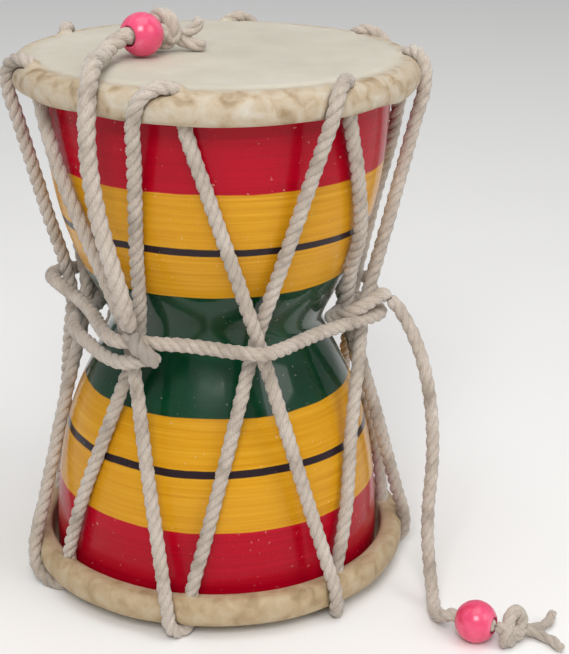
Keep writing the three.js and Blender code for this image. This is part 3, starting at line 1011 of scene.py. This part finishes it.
@dataclass
class Head:
    """A rawhide head: the skin over the mouth and the lapped rim, pulled in by the rope."""

    name: str
    node: str
    face: float
    up: int
    rim_height: float
    turns: list[list[Point]]
    finish: Rawhide
    seed: int
    sizes: DrumSizes = SIZES
    steps: int = 360
    waves: int = 16  # most waves round the rim
    wave_size: float = 0.5
    softness: float = 1.1  # how far from the rope the skin still dips
    fine_step: float = 0.55
    coarse_step: float = 2.5

    def profile(self) -> list[tuple[float, float]]:
        """Gives the profile from the skin's middle round the rim and back under the skin.

        Returns:
            Radius and height of each point.
        """
        s = self.sizes
        low = -s.rim_step - self.rim_height
        corners = [
            (0.0, 0.0), (12.0, 0.0), (24.0, 0.0), (35.0, 0.0), (43.0, 0.0), (48.0, 0.0), (49.6, -0.05),
            (50.8, -0.45), (51.9, -0.55), (53.4, -0.4), (55.0, -0.75), (56.4, -1.7), (57.3, -3.2),
            (57.7, -5.2), (57.6, low + 2.6), (57.1, low + 1.2), (56.0, low + 0.25), (54.4, low),
            (52.6, low + 0.1), (51.5, low + 0.6), (51.0, low + 1.5), (50.9, low + 4.0), (50.6, -s.skin - 2.2),
            (49.6, -s.skin), (40.0, -s.skin), (20.0, -s.skin), (0.0, -s.skin),
        ]
        dense: list[tuple[float, float]] = []
        for (r0, z0), (r1, z1) in zip(corners, corners[1:]):
            step = self.fine_step if r0 > 48 else self.coarse_step
            parts = max(1, round(math.dist((r0, z0), (r1, z1)) / step))
            dense += [(r0 + (r1 - r0) * i / parts, z0 + (z1 - z0) * i / parts) for i in range(parts)]
        dense.append(corners[-1])
        soft = list(dense)
        for i in range(1, len(dense) - 1):
            if dense[i][0] > 49.9:
                soft[i] = tuple((a + 2 * b + c) / 4 for a, b, c in zip(dense[i - 1], dense[i], dense[i + 1]))
        return [(r, self.face + self.up * z) for r, z in soft]

    def dress(self, places: np.ndarray) -> np.ndarray:
        """Gives the rim its waves, and presses the rope's grooves and holes into it.

        Args:
            places: The vertices, in millimetres.

        Returns:
            The moved vertices.
        """
        rng = np.random.default_rng(self.seed)
        radius = np.hypot(places[:, 0], places[:, 1])
        angle = np.arctan2(places[:, 1], places[:, 0])
        lap = np.clip((radius - 50.5) / 3, 0, 1)
        out = np.stack([np.cos(angle), np.sin(angle), np.zeros_like(angle)], axis=1)
        wave_r, wave_z = np.zeros_like(angle), np.zeros_like(angle)
        for n in range(2, self.waves + 1):
            size = self.wave_size / n**0.75
            wave_r += size * rng.normal() * np.cos(n * angle + rng.uniform(0, 6.3))
            wave_z += size * rng.normal() * np.cos(n * angle + rng.uniform(0, 6.3))
        depth = np.clip(-(places[:, 2] - self.face) * self.up / self.rim_height, 0, 1)
        moved = places + out * (lap * (wave_r - 0.3))[:, None] * 0.55
        moved[:, 2] += lap * depth * wave_z * 0.7
        near = np.where(radius > 47)[0]
        for start in range(0, len(near), 2000):
            self.press(moved, near[start : start + 2000])
        return moved

    def rope_places(self) -> np.ndarray:
        """Gives the rope's middle wherever it comes near this rim."""
        rope = np.vstack([smooth_line(turn, False, 0.35) for turn in self.turns])
        return rope[np.abs(rope[:, 2] - self.face) < self.rim_height + 6]

    def press(self, moved: np.ndarray, index: np.ndarray) -> None:
        """Presses the rope into some of the vertices.

        Args:
            moved: All the vertices, which are changed in place.
            index: Which of them to press.
        """
        away = moved[index][:, None] - self.rope_places()[None]
        distance = np.linalg.norm(away, axis=2)
        best = distance.argmin(axis=1)
        rows = np.arange(len(index))
        gap = distance[rows, best]
        way = away[rows, best] / np.maximum(gap, 1e-6)[:, None]
        reach = self.sizes.rope / 2 + 0.05
        edge = reach + self.softness
        push = np.where(gap < edge, reach + self.softness * 0.5 * (gap / edge) ** 2 - gap, 0)
        moved[index] += way * np.maximum(push, 0)[:, None]

    def build(self) -> None:
        """Builds the head in place of its CAD node."""
        mesh = spun(self.profile(), self.steps)
        bmesh.ops.remove_doubles(mesh, verts=mesh.verts, dist=1e-6)
        places = np.array([vert.co for vert in mesh.verts]) / MM
        for vert, place in zip(mesh.verts, self.dress(places) * MM):
            vert.co = place
        piece = finish_piece(self.name, mesh, self.finish.build())
        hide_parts(self.node)


@dataclass
class Bead:
    """A round plastic bead, bored for its cord."""

    name: str
    node: str
    at: Point
    heading: float
    cord: float
    diameter: float = 12.0

    def along(self, distance: float) -> Point:
        """Gives the point on the bore's axis at a distance from the middle."""
        x, y, _ = polar(self.heading, distance, 0)
        return self.at[0] + x, self.at[1] + y, self.at[2]

    def beside(self, points: Sequence[Point]) -> list[Point]:
        """Gives places measured from the bead's middle as places on the drum."""
        return [tuple(a + b for a, b in zip(point, self.at)) for point in points]

    def build(self, material: bpy.types.Material) -> bpy.types.Object:
        """Builds the bead.

        Args:
            material: Its finish.

        Returns:
            The bead.
        """
        radius, bore = self.diameter / 2, self.cord / 2 + 0.25
        mouth = math.asin((bore + 0.5) / radius)
        outside = [
            (radius * math.cos(a), radius * math.sin(a))
            for a in np.linspace(mouth - math.pi / 2, math.pi / 2 - mouth, 40)
        ]
        end = outside[-1][1]
        lip = [(bore + 0.2, end - 0.05), (bore, end - 0.35)]
        inside = [(bore, z) for z in np.linspace(end - 0.7, 0.7 - end, 8)]
        profile = [*outside, *lip, *inside, *[(r, -z) for r, z in reversed(lip)]]
        mesh = spun(profile, 64)
        turn = Matrix.Translation(Vector(self.at) * MM) @ Matrix.Rotation(math.radians(self.heading), 4, "Z")
        turn = turn @ Matrix.Rotation(math.pi / 2, 4, "Y")
        bmesh.ops.transform(mesh, matrix=turn, verts=mesh.verts)
        piece = finish_piece(self.name, mesh, material)
        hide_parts(self.node)
        return piece


@dataclass
class RopeWork:
    """All the cotton: lacing, waist cord, strikers and their knots."""

    sizes: DrumSizes = SIZES
    lacing: LaidRope = LaidRope(4.1, 10.4, seed=3)
    waist: LaidRope = LaidRope(4.1, 8.4, seed=5, step=0.6)
    left: LaidRope = LaidRope(4.9, 12.0, seed=7, step=0.7)
    right: LaidRope = LaidRope(4.0, 11.6, seed=9, step=0.6)
    span_radius: float = 48.6  # the cord runs straight between two crossings of this radius
    finish: TwistedCotton = TwistedCotton("carded_cotton_three_strand_rope")

    def rope_piece(
        self, name: str, rope: LaidRope, line: np.ndarray, material: bpy.types.Material, closed: bool = False
    ) -> bpy.types.Object:
        """Makes a piece of one laid rope.

        Args:
            name: The piece's name.
            rope: Its size and lay.
            line: Its line.
            material: Its finish.
            closed: Whether the line is closed.

        Returns:
            The piece.
        """
        mesh = bmesh.new()
        rope.add_to(mesh, line, closed)
        piece = finish_piece(name, mesh, material)
        scale_strand_map(piece, line_length(line))
        return piece

    def waist_line(self) -> np.ndarray:
        """Gives the waist cord's line, from the right hitch round the back to the right striker's exit.

        Returns:
            The samples.
        """
        order = [3, 4, 5, 6, 0, 1, 2, 3]
        route: list[Point] = [polar(346, 36.6, 82.6), polar(353, 39.5, 82.8)]
        for place, k in enumerate(order):
            z = WAIST_HEIGHTS[k]
            if place:
                route += [over_crossing(k, -5, -1.2, z), over_crossing(k, 0, 0.2, z)]
            if place + 1 == len(order):
                break
            after = order[place + 1]
            step = (CROSSINGS[after].angle - CROSSINGS[k].angle + 360) % 360
            if place:
                route.append(over_crossing(k, 5, -1.2, z))
            middle = self.span_radius * math.cos(math.radians(step / 2))
            route.append(polar(CROSSINGS[k].angle + step / 2, middle, (z + WAIST_HEIGHTS[after]) / 2))
        route += [polar(*place) for place in RIGHT_PASS[1:]]
        route.append(RIGHT_ROUTE[0])
        return smooth_line(route, False, self.waist.step)

    def build(self, beads: dict[str, Bead], bead_pieces: dict[str, bpy.types.Object]) -> None:
        """Builds the lacing, the waist cord and both strikers.

        Args:
            beads: The beads by side.
            bead_pieces: Their objects by side; not used.
        """
        material = self.finish.build()
        lacing = self.rope_piece("lacing", self.lacing, lacing_line(), material, True)
        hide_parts("lacing_rope")
        mesh = bmesh.new()
        round_waist = self.waist_line()
        self.waist.add_to(mesh, round_waist, ends=(True, False))
        self.waist.add_to(mesh, smooth_line([polar(*p) for p in LEFT_PASS], False, self.waist.step))
        self.left.add_to(mesh, smooth_line(LEFT_STUB, False, self.left.step), ends=(True, False))
        waist = finish_piece("waist_cord_and_hitches", mesh, material)
        scale_strand_map(waist, line_length(round_waist))
        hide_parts("waist_cord")
        for side, rope, route, node in (
            ("left", self.left, LEFT_ROUTE, "striker_cord_left"),
            ("right", self.right, RIGHT_ROUTE, "striker_cord_right"),
        ):
            bead = beads[side]
            points = [*route, bead.along(-7), bead.along(-2), bead.along(6)]
            cord_line = smooth_line(points, False, rope.step)
            cord = self.rope_piece(f"striker_rope_{side}", rope, cord_line, material)
            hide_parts(node)
            knot = self.knot(side, rope, bead, material)
            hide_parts(f"end_knot_{side}")

    def knot(self, side: str, rope: LaidRope, bead: Bead, material: bpy.types.Material) -> bpy.types.Object:
        """Makes the overhand knot behind a bead, with its two tails.

        Args:
            side: Which striker.
            rope: Its cord.
            bead: Its bead.
            material: Its finish.

        Returns:
            The knot.
        """
        shape = KNOTS[side]
        mesh = bmesh.new()
        mouth = bead.diameter / 2
        turned = [bead.along(mouth), bead.along(mouth + 1.2), *bead.beside(shape["turn"])]
        line = smooth_line(turned, False, rope.step)
        rope.add_to(mesh, line)
        # A tail has come partly unlaid: it is thinner, looser and more uneven.
        tail_rope = LaidRope(
            rope.diameter * TAIL_SHARE, rope.pitch * 1.3, seed=rope.seed + 4, step=0.6, unevenness=0.06
        )
        for tail in shape["tails"]:
            tail_rope.add_to(mesh, smooth_line(bead.beside(tail), False, tail_rope.step))
        piece = finish_piece(f"end_knot_{side}_and_tails", mesh, material)
        scale_strand_map(piece, line_length(line))
        return piece


# The turn of each end knot and its two tails, measured from the middle of its bead.
KNOTS: dict[str, dict[str, list[Any]]] = {
    "left": {
        "turn": [
            (5.6, 6.4, -0.6), (7.6, 7.4, -2.2), (8.2, 6.6, 1.4), (5.6, 7.4, 4.0), (2.8, 8.6, 2.6),
            (2.0, 9.2, -0.6), (3.6, 8.6, -3.2), (6.2, 8.2, -3.2), (8.6, 8.6, -1.6),
        ],
        "tails": [
            [(7.5, 8.3, -1.2), (10.5, 9.2, -3.0), (14.0, 9.4, -4.3), (17.4, 9.2, -4.3)],
            [(7.5, 8.3, -1.0), (11.4, 9.8, -1.2), (14.2, 10.6, 0.2), (15.8, 11.0, 3.0)],
        ],
    },
    "right": {
        "turn": [
            (9.0, -3.4, -1.2), (12.2, -1.6, -2.2), (12.8, 1.2, 1.0), (10.6, -0.4, 3.4), (8.6, -3.0, 1.2),
            (7.6, -5.2, -3.4), (10.0, -3.0, -3.8), (13.0, -0.6, -3.0),
        ],
        "tails": [
            [(13.4, 0.2, -2.4), (17.6, 2.4, -3.8), (21.2, 5.0, -4.1), (24.2, 9.0, -2.4)],
            [(13.4, 0.2, -2.4), (17.6, -0.4, -4.1), (21.2, -3.6, -4.3), (23.2, -8.0, -4.3)],
        ],
    },
}


# ---------------------------------------------------------------- camera and studio


@dataclass(frozen=True)
class Viewpoint:
    """The camera: where it stands and where it looks."""

    at: Point = (0.0, -431.5, 234.2)
    yaw: float = 2.67
    pitch: float = 20.51
    roll: float = 0.88
    lens: float = 84.88

    def build(self) -> None:
        """Adds the camera and makes it the scene's."""
        data = bpy.data.cameras.new("studio_camera")
        data.lens = self.lens
        data.sensor_width = 36.0
        data.clip_start = 0.02
        camera = bpy.data.objects.new("studio_camera", data)
        yaw, pitch, roll = (math.radians(a) for a in (self.yaw, self.pitch, self.roll))
        ahead = Vector((math.sin(yaw) * math.cos(pitch), math.cos(yaw) * math.cos(pitch), -math.sin(pitch)))
        level = Vector((math.cos(yaw), -math.sin(yaw), 0))
        above = level.cross(ahead)
        right = math.cos(roll) * level + math.sin(roll) * above
        upward = -math.sin(roll) * level + math.cos(roll) * above
        turn = Matrix((right, upward, -ahead)).transposed().to_4x4()
        camera.matrix_world = Matrix.Translation(Vector(self.at) * MM) @ turn
        bpy.context.scene.collection.objects.link(camera)
        bpy.context.scene.camera = camera


@dataclass(frozen=True)
class SoftLight:
    """A rectangular studio lamp aimed at the drum."""

    name: str
    azimuth: float
    elevation: float
    distance: float
    size: tuple[float, float]
    power: float
    colour: str = "#ffffff"

    def build(self) -> None:
        """Adds the lamp."""
        data = bpy.data.lights.new(self.name, "AREA")
        data.shape = "RECTANGLE"
        data.size, data.size_y = self.size
        data.energy = self.power
        data.color = linear(self.colour)[:3]
        lamp = bpy.data.objects.new(self.name, data)
        a, e = math.radians(self.azimuth), math.radians(self.elevation)
        way = Vector((math.sin(a) * math.cos(e), -math.cos(a) * math.cos(e), math.sin(e)))
        lamp.location = Vector((0, 0, 0.08)) + way * self.distance
        lamp.rotation_mode = "QUATERNION"
        lamp.rotation_quaternion = (-way).to_track_quat("-Z", "Y")
        bpy.context.scene.collection.objects.link(lamp)


@dataclass(frozen=True)
class Studio:
    """A pale floor under plain soft light."""

    lamps: tuple[SoftLight, ...] = (
        SoftLight("window", -6, 42, 1.3, (0.5, 0.5), 8.0),
        SoftLight("side_fill", 58, 34, 1.4, (0.7, 0.7), 3.6),
        SoftLight("ceiling", 10, 84, 1.3, (1.0, 1.0), 6.0),
    )
    ambient: float = 0.42

    def build(self) -> None:
        """Adds floor, lamps and sky."""
        mesh = bmesh.new()
        bmesh.ops.create_grid(mesh, x_segments=1, y_segments=1, size=4.0)
        data = bpy.data.meshes.new("floor")
        mesh.to_mesh(data)
        mesh.free()
        floor = bpy.data.objects.new("floor", data)
        material, _, shader = new_material("matt_white_paper")
        shader.inputs["Base Color"].default_value = linear("#f4f3f1")
        shader.inputs["Roughness"].default_value = 0.95
        data.materials.append(material)
        bpy.context.scene.collection.objects.link(floor)
        for lamp in self.lamps:
            lamp.build()
        world = bpy.data.worlds.new("soft_sky")
        world.use_nodes = True
        world.node_tree.nodes["Background"].inputs["Color"].default_value = linear("#f7f8fa")
        world.node_tree.nodes["Background"].inputs["Strength"].default_value = self.ambient
        bpy.context.scene.world = world
        bpy.context.scene.view_settings.view_transform = "Standard"


def main() -> None:
    """Builds the camera, the drum and the studio."""
    logging.basicConfig(level=logging.INFO, format="%(message)s")
    Viewpoint().build()
    beads = {
        "left": Bead("pink_bead_left", "bead_left", (-20.3, -12.3, 161.7), 46.5, 4.8),
        "right": Bead("pink_bead_right", "bead_right", (72.5, -57.7, 6.0), -30, 4.2),
    }
    plastic = MouldedStyrene().build()
    bead_pieces = {side: bead.build(plastic) for side, bead in beads.items()}
    RopeWork().build(beads, bead_pieces)
    Shell().build()
    top = Rawhide("rawhide_upper_head")
    bottom = Rawhide("rawhide_lower_head", brown="#98805c", body="#b39b78", pale="#c2b193")
    Head("upper_head", "top_head", SIZES.top_face, 1, SIZES.top_rim_height, TOP_TURNS, top, 11).build()
    low_rim = SIZES.bottom_rim_height
    Head("lower_head", "bottom_head", SIZES.bottom_face, -1, low_rim, BOTTOM_TURNS, bottom, 23).build()
    Studio().build()


if __name__ == "__main__":
    main()
